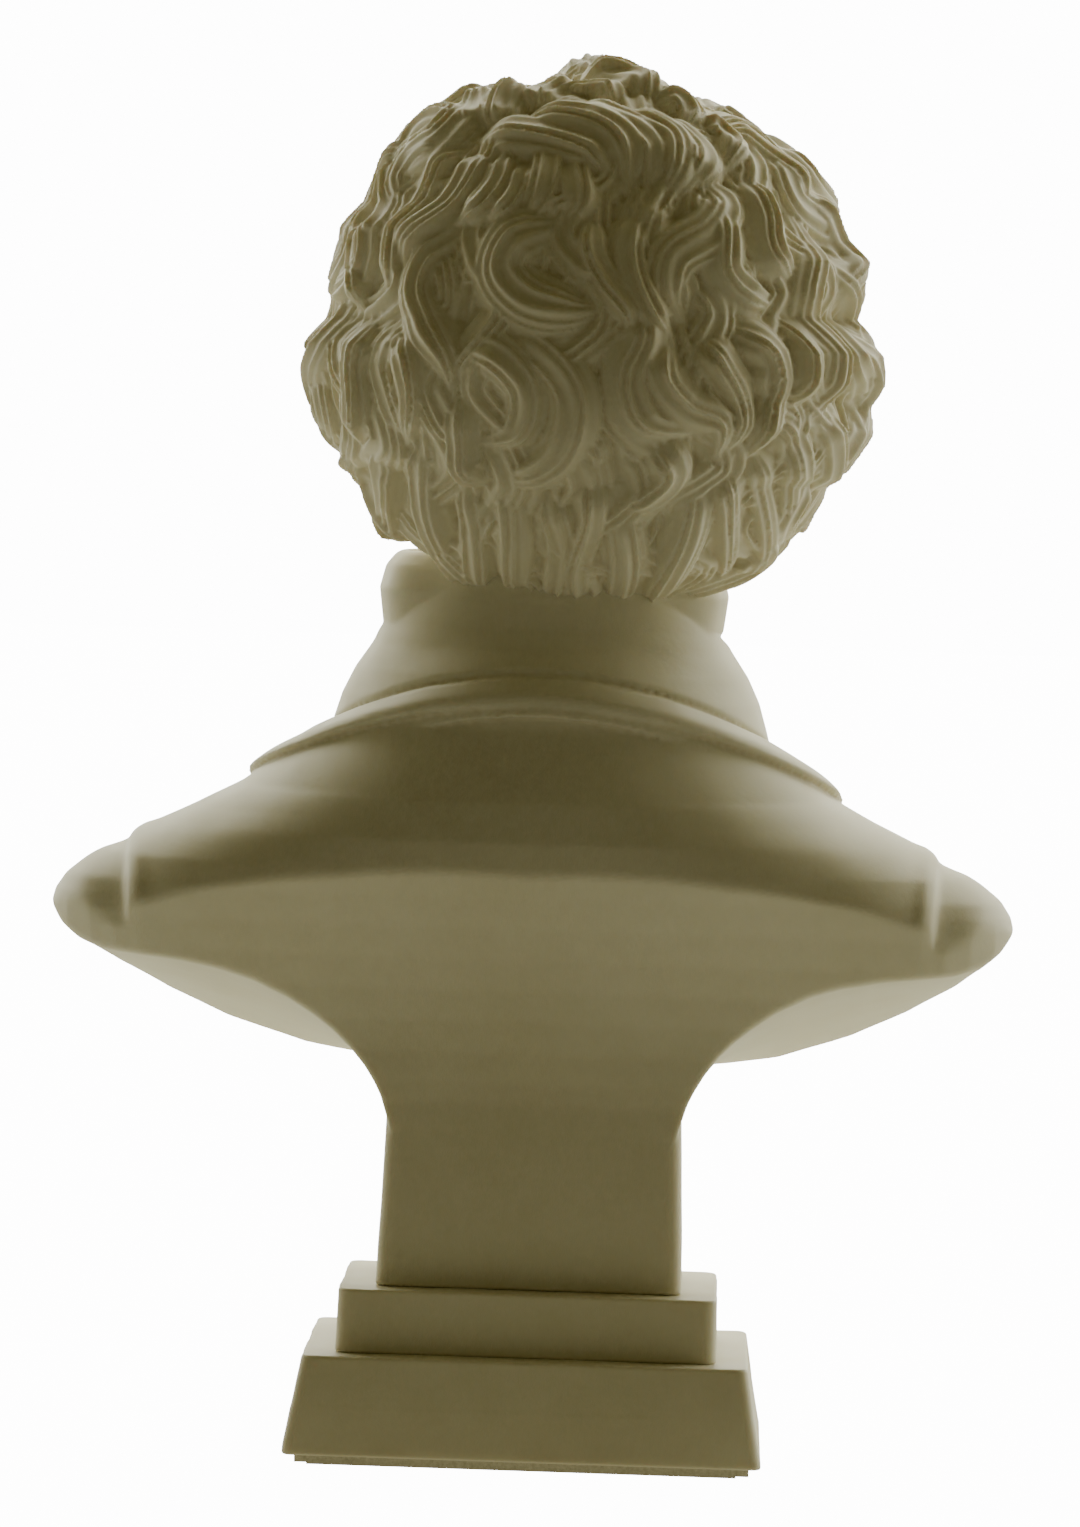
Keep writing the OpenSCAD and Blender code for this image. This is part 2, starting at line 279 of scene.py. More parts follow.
# Locks seen from behind: (width, strands, lift, path of (towards the left, up) in mm from the middle)
BACK_LOCKS = [
    (9, 4, 0.6, [(20, 30), (13, 31), (6, 30.5), (0, 28), (-4, 23)]),
    (9, 4, 1.1, [(13, 33.5), (6, 33.5), (-1, 31.5), (-5, 28), (-6, 22)]),
    (8, 4, 1.2, [(6, 36), (-1, 34), (-7, 32), (-10, 28), (-9.5, 22)]),
    (8, 4, 0.8, [(-3, 36), (-9, 33.5), (-13, 30), (-13.5, 25), (-11, 20.5)]),
    (8, 4, 0.8, [(-9, 34.5), (-15, 31), (-17, 27), (-15, 22)]),
    (8, 4, 0.8, [(20, 31), (20, 35), (18, 38)]),
    (8, 4, 0.9, [(16, 32), (15, 36), (11, 39.5)]),
    (8, 4, 0.8, [(10, 35.5), (8, 38.5), (3, 40.5)]),
    (9, 4, 2.2, [(-9, 37), (-7, 40.5), (-2, 42), (4, 41.5)]),
    (6, 3, 1.0, [(-4, 37), (-1, 39), (3, 39.5), (7, 38)]),
    (7, 3, 1.4, [(-8, 38), (-13, 37.5), (-16, 35), (-14, 32)]),
    (7, 3, 1.4, [(-16, 34), (-20, 33), (-22.5, 30), (-21, 25.5)]),
    (8, 4, 0.9, [(20, 31), (25, 32.5), (30, 30), (34, 25)]),
    (8, 4, 1.0, [(21, 30), (28, 28.5), (33, 24), (33.5, 18)]),
    (8, 4, 0.5, [(20, 29), (25, 26), (28, 21), (32, 15), (33, 8), (34, 1)]),
    (8, 4, 0.8, [(18, 28.5), (20, 24), (24, 18.5), (30, 12.5), (32, 5)]),
    (6, 3, 0.4, [(15, 28), (15.5, 23.5), (18, 19), (24, 15)]),
    (6, 3, 0.1, [(11.5, 26.5), (12.5, 22), (14, 18.5), (18, 15.5)]),
    (7, 3, -0.3, [(8, 30), (7.5, 25), (8.5, 20), (12, 16)]),
    (7, 3, -0.3, [(3.5, 28.5), (2.5, 24), (2, 19.5), (5, 16)]),
    (8, 4, 0.7, [(-18, 25), (-21, 20), (-18.5, 15), (-13, 11), (-12.5, 5), (-16, 0)]),
    (9, 4, 0.7, [(-20, 34), (-26, 31), (-32, 26), (-36, 20)]),
    (8, 4, 0.9, [(20, 16.5), (26.5, 11.5), (28.5, 5), (26, -1), (22, -6.5), (20, -14)]),
    (10, 5, 1.0, [(4, 17), (12, 14), (14.5, 8), (10, 3), (3, 1.5), (-3, 2.5)]),
    (6, 3, 0.4, [(0, 18), (0, 12), (-2.5, 7), (-6.5, 2), (-7, -4)]),
    (7, 3, 0.2, [(-8, 19), (-6.5, 13), (-7.5, 7), (-10.5, 1), (-14, -2)]),
    (8, 4, 1.0, [(-20, 22), (-21, 15), (-21.5, 9), (-26, 5), (-32, 4)]),
    (8, 4, 1.1, [(-24, 26), (-27.5, 19), (-29, 12), (-34, 7.5)]),
    (8, 4, 0.8, [(-32, 22), (-35, 13), (-35, 5), (-37.5, -3), (-36, -10), (-31, -14.5)]),
    (8, 3, 1.6, [(-34, 24), (-39, 17), (-41.5, 11), (-39, 5)]),
    (8, 3, 1.5, [(-38, 12), (-42, 6), (-43, 0), (-40, -5)]),
    (9, 4, 1.2, [(-40, 2), (-42.5, -4), (-42, -11), (-38, -18)]),
    (8, 4, 0.8, [(40, 6), (41.5, -3), (42, -11), (38, -19.5)]),
    (7, 4, 0.8, [(36, 1), (36.5, -7), (35, -14), (34.5, -20.5)]),
    (8, 4, 0.2, [(31, -1), (27.5, -7), (26.5, -13), (27.5, -20)]),
    (7, 3, 1.0, [(15, -1.5), (6.5, -4.5), (1.5, -11), (3, -19), (9, -23), (14.5, -21.5)]),
    (8, 4, 0.5, [(21, -4), (14, -5), (9, -10), (10, -16.5), (16.5, -18.5)]),
    (6, 3, 0.7, [(19.5, -10), (18.5, -18), (17.5, -22), (13.5, -25)]),
    (7, 3, 0.4, [(24.5, -18), (24.5, -26), (21.5, -33.6), (18.5, -40.1)]),
    (7, 3, 0.4, [(31, -19), (30.5, -27), (28, -34.6), (23.5, -39.1)]),
    (6, 3, 0.4, [(18, -24), (16, -32.6), (14, -41.1)]),
    (7, 3, 0.2, [(11, -24), (10, -32.6), (9.5, -41.6)]),
    (7, 3, 0.3, [(5, -25), (3, -33.6), (4.5, -42.1)]),
    (6, 3, 0.5, [(-1, -22), (-1, -29), (1, -36.6), (0, -42.6)]),
    (8, 4, 0.9, [(-8, 3), (-8.5, -2), (-6.5, -8), (-9, -14), (-17.5, -16)]),
    (7, 3, 1.1, [(-13, -1), (-11.5, -7), (-15, -11.5), (-20, -14), (-19.5, -21)]),
    (7, 4, 0.5, [(-17, -1), (-20.5, -6), (-23.5, -12), (-21, -19.5)]),
    (7, 4, 0.9, [(-21, 1), (-27, -2), (-29, -8), (-27, -14), (-23.5, -20.5)]),
    (6, 3, 0.6, [(-29, 4), (-33, -1), (-33, -8), (-29.5, -13)]),
    (7, 3, 0.8, [(-9, -16.5), (-12.5, -21), (-10, -25), (-4, -28)]),
    (7, 3, 0.3, [(-5, -26), (-6.5, -34.6), (-5, -42.6)]),
    (7, 4, 0.8, [(-18, -22), (-16.5, -29), (-12.5, -37.6), (-10.5, -43.6)]),
    (7, 4, 0.3, [(-21, -21), (-22, -28), (-20.5, -38.6)]),
    (6, 3, 0.6, [(-25, -18), (-27, -24), (-27, -32.6), (-24, -38.6)]),
    (7, 4, 0.4, [(-31, -14), (-32, -21), (-31, -28), (-28, -34.6)]),
    (7, 3, 0.5, [(-36, -12), (-37, -19), (-33.5, -27)]),
    (6, 3, 0.9, [(32, 28), (35, 22), (35.5, 16), (38, 11)]),
    (6, 3, 0.9, [(37, 17), (40, 12), (39, 6), (38, 0)]),
]

# Forelocks: (width, strands, lift, path of (degrees from the face's middle, up))
FORELOCKS = [
    (9, 4, 1.0, [(14, 41), (0, 38.5), (-16, 35), (-28, 30), (-37, 23)]),
    (9, 4, 1.1, [(-6, 41), (10, 38.5), (24, 34), (34, 29), (42, 22)]),
    (8, 4, 1.8, [(10, 39), (2, 35), (-8, 31), (-18, 28), (-27, 27)]),
    (8, 4, 1.6, [(2, 40), (10, 35), (17, 31), (25, 28.5), (33, 28)]),
    (7, 3, 2.4, [(8, 37), (7, 32), (2, 28.5), (-5, 26.5), (-11, 27.5)]),
]

# Locks down each side of the face, laid the same way, then mirrored with some change
SIDE_LOCKS = [
    (8, 4, 1.3, [(37, 29), (45, 23), (47, 16), (52, 10), (59, 9)]),
    (8, 4, 1.4, [(47, 21), (56, 15), (57, 8), (62, 2), (69, 1)]),
    (8, 4, 1.2, [(59, 12), (67, 6), (66, -2), (71, -8), (78, -9)]),
    (8, 4, 1.2, [(65, 2), (73, -5), (71, -13), (76, -19), (83, -19)]),
    (8, 4, 1.0, [(73, -8), (80, -15), (77, -23), (82, -29), (88, -29)]),
    (7, 4, 0.8, [(80, -19), (87, -25), (85, -32), (89, -37)]),
    (9, 4, 0.9, [(50, 32), (63, 27), (67, 19), (73, 12), (81, 11)]),
    (9, 4, 0.9, [(66, 21), (78, 15), (79, 7), (85, 0), (93, -1)]),
    (9, 4, 0.9, [(78, 8), (88, 1), (87, -7), (93, -14), (100, -14)]),
    (8, 4, 0.8, [(86, -5), (95, -12), (93, -20), (99, -27), (105, -27)]),
    (8, 4, 0.6, [(91, -18), (99, -25), (96, -32), (100, -38)]),
    (9, 4, 0.7, [(60, 36), (80, 32), (86, 24), (92, 17), (99, 16)]),
    (9, 4, 0.7, [(84, 24), (95, 17), (97, 9), (103, 2), (110, 2)]),
]


# Where the hair parts at the crown, and two directions square to it
WHORL = unit(np.array([0.0, 0.30, 0.95]))
WHORL_START = unit(np.cross(WHORL, [1.0, 0, 0]))
WHORL_OTHER = np.cross(WHORL, WHORL_START)


def combed(d):
    """Height of the fine strands that show between the locks, running down from the crown."""
    turn = np.arctan2(d @ WHORL_OTHER, d @ WHORL_START)
    reach = np.arccos(np.clip(d @ WHORL, -1, 1))
    waves = 3.5 * np.sin(5.5 * reach + 2 * np.sin(2 * turn))
    return 0.8 * np.cos(110 * turn + waves) + 0.7 * np.cos(22 * turn + 2 * waves)


def row_locks(clay, rng):
    """Locks in staggered rows that flow away from the crown, waving left in one row and right in the next."""
    for row, reach in enumerate(np.radians([10, 27, 44, 61, 78, 95, 112, 128])):
        count = max(5, int(round(2 * pi * 41 * sin(reach) / 10.5)))
        for k in range(count):
            turn = 2 * pi * (k + 0.5 * (row % 2) + rng.uniform(-0.15, 0.15)) / count
            spot = WHORL * cos(reach) + (WHORL_START * cos(turn) + WHORL_OTHER * sin(turn)) * sin(reach)
            sway = radians(rng.uniform(38, 62)) * (1 if row % 2 else -1)
            length = rng.uniform(21, 27)
            path = [spot]
            for step in range(5):
                here = path[-1]
                away = unit(here * here.dot(WHORL) - WHORL)
                across = np.cross(here, away)
                bend = sway * cos(step * pi / 2.6)
                path.append(unit(here + (away * cos(bend) + across * sin(bend)) * length / 5 / 42))
            path = np.array(path)
            level = path[:, 2] * 41
            inside = table(level, HAIRLINE) - 8 < np.abs(face_angle(path))
            keep = np.argmin(inside) if not inside.all() else len(path)
            if keep < 4 or level[0] < -38:
                continue
            lift = -1.0 if spot[1] > 0.35 or row == 0 else rng.uniform(-0.3, 0.7)
            lock(clay, path[:keep], rng.uniform(9, 11), 7, rng, lift=lift)


def hair(clay):
    """All the locks: those listed, then the rows that fill in round and under them."""
    rng = np.random.default_rng(11)
    for width, strands, lift, path in BACK_LOCKS:
        lock(clay, [back(u, v) for u, v in path], width, strands + 2, rng, lift=0.75 * lift)
    for width, strands, lift, path in FORELOCKS:
        lock(clay, [around(a, v) for a, v in path], width, strands + 2, rng, lift=0.75 * lift)
    for side in (-1, 1):
        for width, strands, lift, path in SIDE_LOCKS:
            drop = rng.uniform(-1.5, 1.5)
            line = [around(side * a, v + drop) for a, v in path]
            if np.mean(line, axis=0)[1] < 0.08:
                lock(clay, line, width, strands + 2, rng, lift=0.75 * lift)
    row_locks(clay, rng)


def directions(rows, cols):
    """Unit directions on a globe, one row per level from the bottom up."""
    el = np.linspace(-pi / 2, pi / 2, rows + 2)[1:-1][:, None]
    az = np.linspace(0, 2 * pi, cols, endpoint=False)[None, :]
    return np.stack([np.cos(el) * np.cos(az), np.cos(el) * np.sin(az), np.sin(el) + 0 * az], axis=-1)


def turned(points):
    """From the face's own frame, where it looks along -Y, to the model's."""
    x = points[..., 0] * cos(TURN) - points[..., 1] * sin(TURN)
    y = points[..., 0] * sin(TURN) + points[..., 1] * cos(TURN)
    return np.stack([x, y, points[..., 2]], axis=-1) + HEAD


EYE = (10.6, -4.0)
EYE_HALF = 5.3


def nose(x, v):
    """Bridge, tip and wings, as a height in front of the face."""
    length = np.interp(v, [-22.5, -21.3, -19, -15, -9, -3, 1], [0, 2.6, 6.6, 6.0, 4.3, 2.2, 0.4])
    width = np.interp(v, [-22, -18.5, -12, -3, 1], [4.4, 4.6, 4.0, 3.6, 5.0])
    wings = 3.0 * bump(np.abs(x) - 4.5, v + 19.6, 1.9, 2.1)
    nostrils = 1.7 * bump(np.abs(x) - 2.5, v + 21.9, 1.2, 0.9)
    tip = 0.9 * bump(x, v + 18.4, 3.0, 2.4)
    return length * np.exp(-(np.abs(x) / width) ** 2.0) + tip + wings - nostrils


def mouth(x, v):
    """Lips, their parting and corners, and the groove over them, as a height in front of the face."""
    a = np.abs(x)
    line = -29.2 + 0.005 * a ** 2
    upper_peak = -27.4 + 0.35 * np.exp(-((a - 2.2) / 1.5) ** 2)
    upper = 1.7 * np.exp(-((v - upper_peak) / 1.25) ** 2) * np.clip(1 - (a / 9.2) ** 2, 0, 1)
    lower = 2.0 * np.exp(-((v + 31.4) / 1.5) ** 2) * np.clip(1 - (a / 7.8) ** 2, 0, 1)
    parting = 1.5 * np.exp(-((v - line) / 0.5) ** 2) * ramp(10, 7.5, a)
    corners = 0.8 * bump(a - 9.2, v + 29.0, 1.5, 1.5)
    philtrum = 0.5 * bump(x, v + 24.6, 1.0, 2.0) - 0.3 * bump(a - 1.7, v + 24.6, 0.8, 2.0)
    return 1.4 * bump(x, v + 28, 9.5, 7) + upper + lower - parting - corners - philtrum


def eyes(x, v):
    """Eyeball between two lids with a crease over them, as a height in front of the socket."""
    a = np.abs(x) - EYE[0]
    w = v - EYE[1] + 0.08 * a
    arch = np.clip(1 - (a / EYE_HALF) ** 2, 0, 1)
    ball = 2.3 * np.sqrt(np.clip(1 - (a / 6.4) ** 2 - (w / 4.7) ** 2, 0, 1))
    covered = ramp(-0.2, 0.3, w - 2.0 * arch) + ramp(-0.2, 0.3, -w - 1.55 * arch)
    lids = 0.75 * covered * np.sqrt(np.clip(1 - (a / 7.2) ** 2 - (w / 5.0) ** 2, 0, 1))
    crease = 0.5 * np.exp(-(((w - 1.6 * arch - 2.6) / 0.5) ** 2)) * ramp(6.5, 4.0, np.abs(a))
    return ball + lids - crease


def face(clay):
    """Skull and jaw in one shell, with brow, sockets, cheeks, chin and features raised in front."""
    d = directions(420, 520)
    skull = ellipsoid_radius(d, np.array([26.8, 33.5, 32.5]), np.array([0.0, 3.0, 5.0]))
    jaw = ellipsoid_radius(d, np.array([22.5, 26.0, 31.0]), np.array([0.0, -6.0, -14.5]))
    p = d * smooth_max(skull, jaw, 3.0)[..., None]
    x, y, v = p[..., 0], p[..., 1], p[..., 2]
    a = np.abs(x)
    front = ramp(-4, -14, y)
    swell = 1.5 * bump(a - 10, v - 3.0 + 0.02 * (a - 9) ** 2, 8, 2.6) + 0.7 * bump(x, v - 2.5, 5, 3.2)
    swell -= 4.6 * bump(a - 10.4, v + 3.2, 5.6, 4.6) + 1.6 * bump(a - 5.4, v + 3.4, 1.8, 2.6)
    swell += 1.3 * bump(a - 16.5, v + 13, 6.5, 5) - 1.3 * bump(a - 16, v + 25, 5.5, 7)
    swell -= 1.3 * bump(x, v + 35.2, 7, 1.9)
    swell += 3.2 * bump(x, v + 39.6, 7.2, 4.4) + 0.5 * bump(a - 8, v - 18, 7, 6)
    swell += nose(x, v) + mouth(x, v) + eyes(x, v)
    depth = y - swell * front
    clay.add_rings(turned(np.stack([x, depth, v], axis=-1)))


def neck(clay):
    """The neck, from the collar's seat up into the jaw."""
    rings = []
    levels = [(122, 20.6), (127, 20.0), (132, 19.2), (138, 18.6), (146, 18.2)]
    for z, r in levels:
        angle = np.linspace(0, 2 * pi, 96, endpoint=False)
        ring = np.stack([NECK_X + r * np.cos(angle), 1.0 + 1.04 * r * np.sin(angle), z + 0 * angle], axis=-1)
        rings.append(ring)
    clay.add_rings(np.array(rings))


def carved_head():
    """Hair, face and neck in one skin."""
    clay = Clay()
    d = directions(330, 640)
    mass = mass_radius(d)
    cover = hair_cover(d, d[..., 2] * mass)
    radius = mass * (0.66 + 0.34 * cover) + combed(d) * cover
    clay.add_rings(d * radius[..., None] + HEAD)
    face(clay)
    neck(clay)
    hair(clay)
    obj = new_object("carved_head", clay.mesh("carved_head"))
    fuse(obj, 0.3, 2)
    return obj


# ---------------------------------------------------------------- the torso

# Outline of the shoulders and chest by height: half width, reach to the back and reach to the front
HALF_WIDTH = (
    [84, 86, 88.5, 92.3, 96.1, 99.9, 103.7, 107.5, 111.3, 115.1, 118.9, 123],
    [75.1, 74.6, 73.0, 68.3, 61.0, 53.1, 46.1, 41.5, 37.0, 34.0, 32.2, 29.4],
)
BACK_REACH = ([92, 97, 103, 109, 114, 117, 120, 124], [36.8, 36.8, 35.4, 32.8, 30.6, 30, 29.8, 28.6])
FRONT_REACH = (
    [54, 60, 68, 80, 88, 96, 104, 112, 120],
    [35, 37.5, 39.6, 40.6, 40.2, 38.4, 35, 31.5, 28],
)
# Depth of the hollow cut under the shoulder blades by height, and its share of that depth, the height
# of the chest's lower edge and the height of the hollow's rim, by distance from the middle
HOLLOW = (
    [55, 58, 63, 68, 73, 78, 83, 88, 92.7, 99],
    [15, 15.4, 16.6, 18.4, 20.9, 24.2, 28.2, 32.8, 37.6, 44.5],
)
SWEEP = ([0, 30, 45, 60, 64, 68, 72, 75], [1, 0.95, 0.89, 0.80, 0.73, 0.60, 0.42, 0.2])
FRONT_EDGE = (
    [0, 20, 30, 38, 50, 59, 67, 72, 75.5, 78],
    [57.4, 57.8, 58.6, 59.6, 62.9, 66.8, 71.6, 76, 81, 87],
)
RIM_EDGE = (
    [22, 23.2, 23.8, 24.8, 26.3, 28.3, 31, 34, 38, 43, 48, 54, 60, 66, 70, 73, 75, 77],
    [50, 54, 56, 58.2, 60.8, 63.4, 66.2, 68.6, 71.4, 73.9, 75.4, 76.5, 77.1, 77.6, 78.9, 81, 83.6, 88],
)
# Height of the neck's seat, how far the shaft and the step reach down through the cement under them,
# the point that the torso's skin is drawn round, and the collar's axis
SEAT_Z = 121.8
JOINT = 0.35
CENTRE = np.array([0.0, -5.0, 88.0])
COLLAR = np.array([-0.4, -1.0])


def lean(z):
    """Sideways lie of the body over the plinth, and of the neck over the body."""
    return 1.4 * ramp(56, 84, z) - 1.8 * ramp(100, 120, z)


def armhole(x, z):
    """Height of the welt beside the sleeve seam, less the dip of the cut sleeve beyond it."""
    a = np.abs(x)
    seam = 62.0 + (z - 84) * 0.1
    dip = 1.7 * ramp(seam - 0.7, seam + 0.5, a) * ramp(seam + 8, seam + 0.5, a)
    welt = 0.6 * np.exp(-(((a - seam + 2.0) / 1.3) ** 2))
    return (welt - dip) * ramp(78, 83, z)


def coat_gap(p):
    """Gap from the coat's outline, level by level; negative inside."""
    x, y, z = p[..., 0] - lean(p[..., 2]), p[..., 1], p[..., 2]
    wide = np.where(y > 0, table(z, BACK_REACH), table(z, FRONT_REACH))
    power = np.where(y > 0, 2.2, 2.3)
    e = ((np.abs(x) / table(z, HALF_WIDTH)) ** power + (np.abs(y) / wide) ** power) ** (1 / power)
    e = np.maximum(e, 0.02)
    return np.hypot(x, y) * (1 - 1 / e) - armhole(x, z)


def hollow_depth(x, z):
    """How far back the hollow's surface lies."""
    return table(z, HOLLOW) * (1 - (1 - table(np.abs(x), SWEEP)) * ramp(56, 66, z))


# Collar lines by angle round from the back: the crease, the fold's lower edge and the standing rim,
# then the radii of the coat's and the shirt's collar by height
CREASE = (
    [0, 10, 20, 35, 50, 62, 75, 90, 112, 135, 150],
    [122.1, 121.9, 121.2, 119.6, 117.3, 115.2, 113.0, 110.9, 108.6, 107.6, 107.2],
)
FOLD = (
    [0, 10, 20, 32, 48, 60, 68, 76, 90, 110, 135, 150],
    [117.2, 117.0, 116.5, 115.6, 113.4, 111.2, 109.4, 107.6, 104.9, 102.0, 99.6, 98.8],
)
RIM = ([0, 24, 46, 65, 90, 115, 135, 152], [139.5, 138, 134.2, 131.2, 128.0, 124.5, 119.5, 114])
COLLAR_RADIUS = (
    [104, 108, 111, 114, 118, 122, 126, 129, 133, 138],
    [36.4, 35.2, 34.6, 33.9, 32.8, 30.9, 28.2, 26.9, 25.8, 24.4],
)
SHIRT_RADIUS = ([116, 126, 129, 134.5, 138, 140.5], [24, 24.6, 26.6, 27.3, 26.4, 24.4])


def by_angle(angle, curve):
    """A height round the collar, which sits a little lower on the sitter's right."""
    return table(np.abs(angle), curve) + 0.7 * np.sin(np.radians(angle))


def above_crease(p):
    """Gap that clears the coat away above the collar's crease, where the upright collar takes over."""
    x, y, z = p[..., 0] - COLLAR[0], p[..., 1] - COLLAR[1], p[..., 2]
    crease = by_angle(np.degrees(np.arctan2(x, y)), CREASE)
    return np.minimum(z - crease, np.hypot(x, y) - table(z, COLLAR_RADIUS) + 2.4)


def torso_gap(p):
    """Gap from the torso's outside: coat, hollow, lower edges and the clearing above the collar's crease."""
    x, y, z = p[..., 0] - lean(p[..., 2]), p[..., 1], p[..., 2]
    a = np.abs(x)
    hollow = hollow_depth(x, z)
    rear_edge = table(a, RIM_EDGE)
    forward = np.clip((hollow - y) / (hollow + 35), 0, 1)
    floor = rear_edge * (1 - forward) + table(a, FRONT_EDGE) * forward
    gap = smooth_max(coat_gap(p), (y - hollow) * 0.85, 0.9)
    gap = smooth_max(gap, (floor - z) * 0.9, 0.9)
    gap = np.maximum(gap, above_crease(p))
    return np.maximum(gap, z - SEAT_Z)


def march(origin, d, gap, near, far):
    """Distance along each direction at which the gap opens."""
    low = np.full(d.shape[:-1], float(near))
    high = np.full(d.shape[:-1], float(far))
    for _ in range(24):
        mid = (low + high) / 2
        inside = gap(origin + d * mid[..., None]) < 0
        low = np.where(inside, mid, low)
        high = np.where(inside, high, mid)
    return (low + high) / 2


def collar_ray(angle, z):
    """Origin on the collar's axis and level direction, the angle counted from the back."""
    a = np.radians(angle)
    d = np.stack([np.sin(a), np.cos(a), 0 * a], axis=-1)
    origin = np.stack([COLLAR[0] + 0 * a, COLLAR[1] + 0 * a, z + 0 * a], axis=-1)
    return origin, d


def shoulder_radius(angle, z):
    """Radius of the coat about the collar's axis."""
    origin, d = collar_ray(angle, z)
    return march(origin, d, coat_gap, 5, 90)


def rounded_rect(w, d, r, per_side=26, per_corner=14):
    """Outline of a rounded rectangle, anticlockwise, starting on its +X side."""
    points = []
    corners = [(w / 2 - r, d / 2 - r, 0), (-w / 2 + r, d / 2 - r, 90)]
    corners += [(-w / 2 + r, -d / 2 + r, 180), (w / 2 - r, -d / 2 + r, 270)]
    for k, (cx, cy, start) in enumerate(corners):
        for a in np.radians(np.linspace(start, start + 90, per_corner)):
            points.append((cx + r * cos(a), cy + r * sin(a)))
        nx, ny, begin = corners[(k + 1) % 4]
        a = radians(begin)
        end = np.array([nx + r * cos(a), ny + r * sin(a)])
        last = np.array(points[-1])
        points += [tuple(last + (end - last) * t) for t in np.linspace(0, 1, per_side)[1:-1]]
    return np.array(points)


def waviness(p, amount):
    """Slow unevenness of a hand-finished casting, as a height at each point."""
    x, y, z = p[..., 0], p[..., 1], p[..., 2]
    swell = np.sin(0.21 * x + 0.13 * z + 1.0) + np.sin(0.17 * z - 0.29 * y)
    swell = swell + 0.6 * np.sin(0.53 * x - 0.41 * z + 2)
    return amount * swell / 2.6


def shaft(clay):
    """The tapered shaft, from its cement bed up into the torso."""
    rings = []
    foot = SHAFT_FOOT - JOINT
    for z in np.concatenate([np.linspace(foot, 57, 60), [59, 61, 64]]):
        width = 47.2 - 1.5 * ramp(foot, 57, z) - 6 * ramp(57, 64, z)
        flare = 0.5 * np.exp(-(z - foot) / 0.8)
        outline = rounded_rect(width + flare, 30.0 + flare, 2.3)
        ring = np.column_stack([outline, np.full(len(outline), z)])
        out = unit(np.column_stack([outline, np.zeros(len(outline))]))
        rings.append(ring + out * waviness(ring, 0.12)[:, None])
    clay.add_rings(np.array(rings))


def folded_band(clay):
    """The collar's turned-down fold, a rounded band lying over the back and both shoulders."""
    angle = np.linspace(-148, 148, 400)
    s = np.linspace(0, 1, 30)[None, :]
    low, high = by_angle(angle, FOLD)[:, None], by_angle(angle, CREASE)[:, None]
    z = low + (high - low) * s
    around_axis = np.broadcast_to(angle[:, None], z.shape)
    skin = shoulder_radius(around_axis, z)
    profile = (1 - np.abs(2 * s - 1) ** 7) ** 0.5 * (2.6 - 1.7 * ramp(0.35, 1, s))
    ends = ramp(148, 142, np.abs(angle))[:, None]
    raised = skin + profile * ends - 0.3
    origin, d = collar_ray(around_axis, z)
    outer = origin + d * raised[..., None]
    inner = origin + d * (skin - 2.5)[..., None]
    clay.add_rings(np.concatenate([outer, inner[:, ::-1]], axis=1))


def standing_ring(clay, angle, base, rim, radius, thickness, tuck, groove):
    """An upright collar wall between two lines of heights, drawn in by tuck and cut by a fine groove."""
    s = np.linspace(0, 1, 70)[None, :]
    z = base[:, None] + (rim - base)[:, None] * s
    shape = table(z, radius) - tuck[:, None] * ramp(0.2, 0.6, s)
    cut = 0.9 * np.exp(-(((z - groove[:, None]) / 0.5) ** 2))
    near_rim = ((z - rim[:, None] + 1.1) / 1.1).clip(0, 1)
    round_over = thickness / 2 * (1 - np.sqrt(np.clip(1 - near_rim ** 2, 0, 1)))
    origin, d = collar_ray(np.broadcast_to(angle[:, None], z.shape), z)
    outer = origin + d * (shape - round_over - cut)[..., None]
    inner = origin + d * (shape - thickness + round_over)[..., None]
    clay.add_rings(np.concatenate([outer, inner[:, ::-1]], axis=1))


def coat_collar(clay):
    """The coat collar's stand, rising from under the crease and, at the back, into the hair."""
    angle = np.linspace(-150, 150, 300)
    crease = by_angle(angle, CREASE)
    tuck = 0.2 + 1.4 * np.cos(np.radians(angle)) ** 2
    standing_ring(clay, angle, crease - 6, by_angle(angle, RIM), COLLAR_RADIUS, 2.8, tuck, crease + 0.4)


def shirt_collar(clay):
    """The shirt's high collar, open in front."""
    angle = np.linspace(-158, 158, 300)
    rim = 140.5 - 10 * ramp(118, 158, np.abs(angle)) - 6 * ramp(60, 20, np.abs(angle))
    tuck = 3.0 * ramp(72, 40, np.abs(angle)) + 0.8 * ramp(120, 158, np.abs(angle))
    hem = np.full(angle.shape, 116.0)
    standing_ring(clay, angle, hem, rim, SHIRT_RADIUS, 2.0, tuck, hem)


def front_skin(x, z):
    """Depth of the coat's front under points given as x and height."""
    origin = np.stack([x, 0 * x, z], axis=-1)
    d = np.broadcast_to(np.array([0.0, -1.0, 0.0]), origin.shape)
    return march(origin, d, coat_gap, 0.5, 60)


def front_panel(clay, outer, inner, thick, along=90, across=26):
    """A layer of cloth on the chest between two paths of (x, height), rounded along both edges."""
    a = spline(np.array(outer, dtype=float), along)[:, None, :]
    b = spline(np.array(inner, dtype=float), along)[:, None, :]
    s = np.linspace(0, 1, across)[None, :]
    spot = a * (1 - s[..., None]) + b * s[..., None]
    x, z = spot[..., 0], spot[..., 1] - 2.5
    skin = front_skin(x, z)
    edge = (1 - np.abs(2 * s - 1) ** 8) ** 0.5
    end = np.linspace(0, 1, along)[:, None]
    edge = edge * (1 - np.abs(2 * end - 1) ** 30) ** 0.5
    top = np.stack([x, -skin - thick * edge + 0.2, z], axis=-1)
    under = np.stack([x, -skin + 2.0, z], axis=-1)
    rings = np.concatenate([top, under[:, ::-1]], axis=1)
    clay.add_rings(rings)


